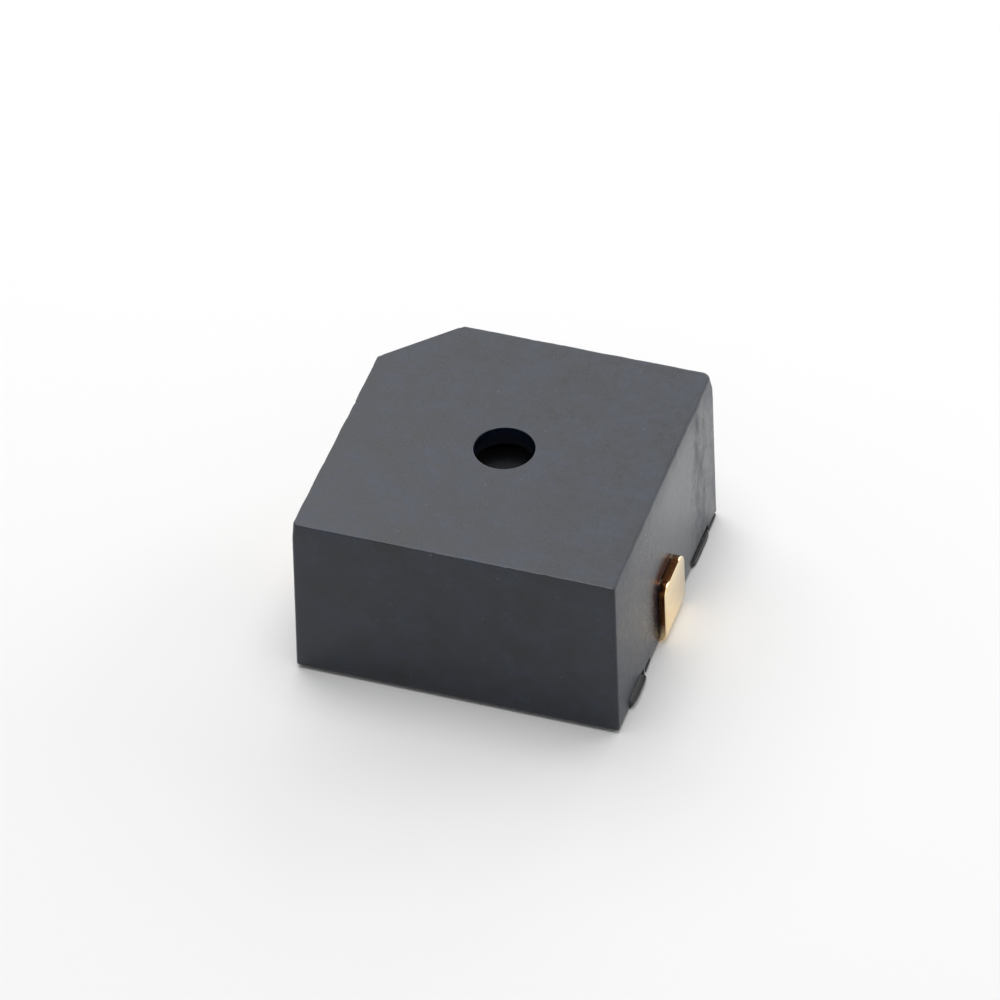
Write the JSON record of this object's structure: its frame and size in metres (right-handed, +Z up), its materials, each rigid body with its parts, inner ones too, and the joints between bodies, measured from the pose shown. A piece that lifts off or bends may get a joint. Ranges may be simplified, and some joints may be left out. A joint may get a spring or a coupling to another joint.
{
  "type": "magnetic buzzer",
  "caption": "Square surface-mount magnetic buzzer with a sound hole in its roof, a cut polarity corner and gold-plated terminals bent up its sides.",
  "frame": {"origin": "on the board plane, under the middle of the case and midway between the terminals", "axes": "+Z up out of the sound hole, +X towards the negative terminal, the cut polarity corner at -X +Y"},
  "size_m": [0.0094, 0.009, 0.0051],
  "materials": {
    "black_lcp": "fine spark-eroded matte, glass-filled",
    "base_lcp": "matte moulded",
    "gold_plate": "flash gold over nickel on stamped bronze strip",
    "plated_iron": "nickel plated soft iron",
    "enamelled_copper": "polyurethane enamelled copper wire",
    "solder": "tin solder",
    "ferrite": "sintered, ground faces",
    "spring_steel": "cold rolled",
    "black_epoxy": "poured and cured, glossy"
  },
  "bodies": {
    "root": {"case": "black_lcp", "base": "base_lcp", "terminal_positive": "gold_plate", "terminal_negative": "gold_plate", "yoke_plate": "plated_iron", "pole_core": "plated_iron", "coil_winding": "enamelled_copper", "lead_wire_start": "enamelled_copper", "lead_wire_finish": "enamelled_copper", "solder_joint_positive": "solder", "solder_joint_negative": "solder", "ring_magnet": "ferrite", "diaphragm": "spring_steel", "armature_disc": "plated_iron", "epoxy_fill": "black_epoxy", "seam_bond": "black_epoxy"}
  },
  "joints": []
}
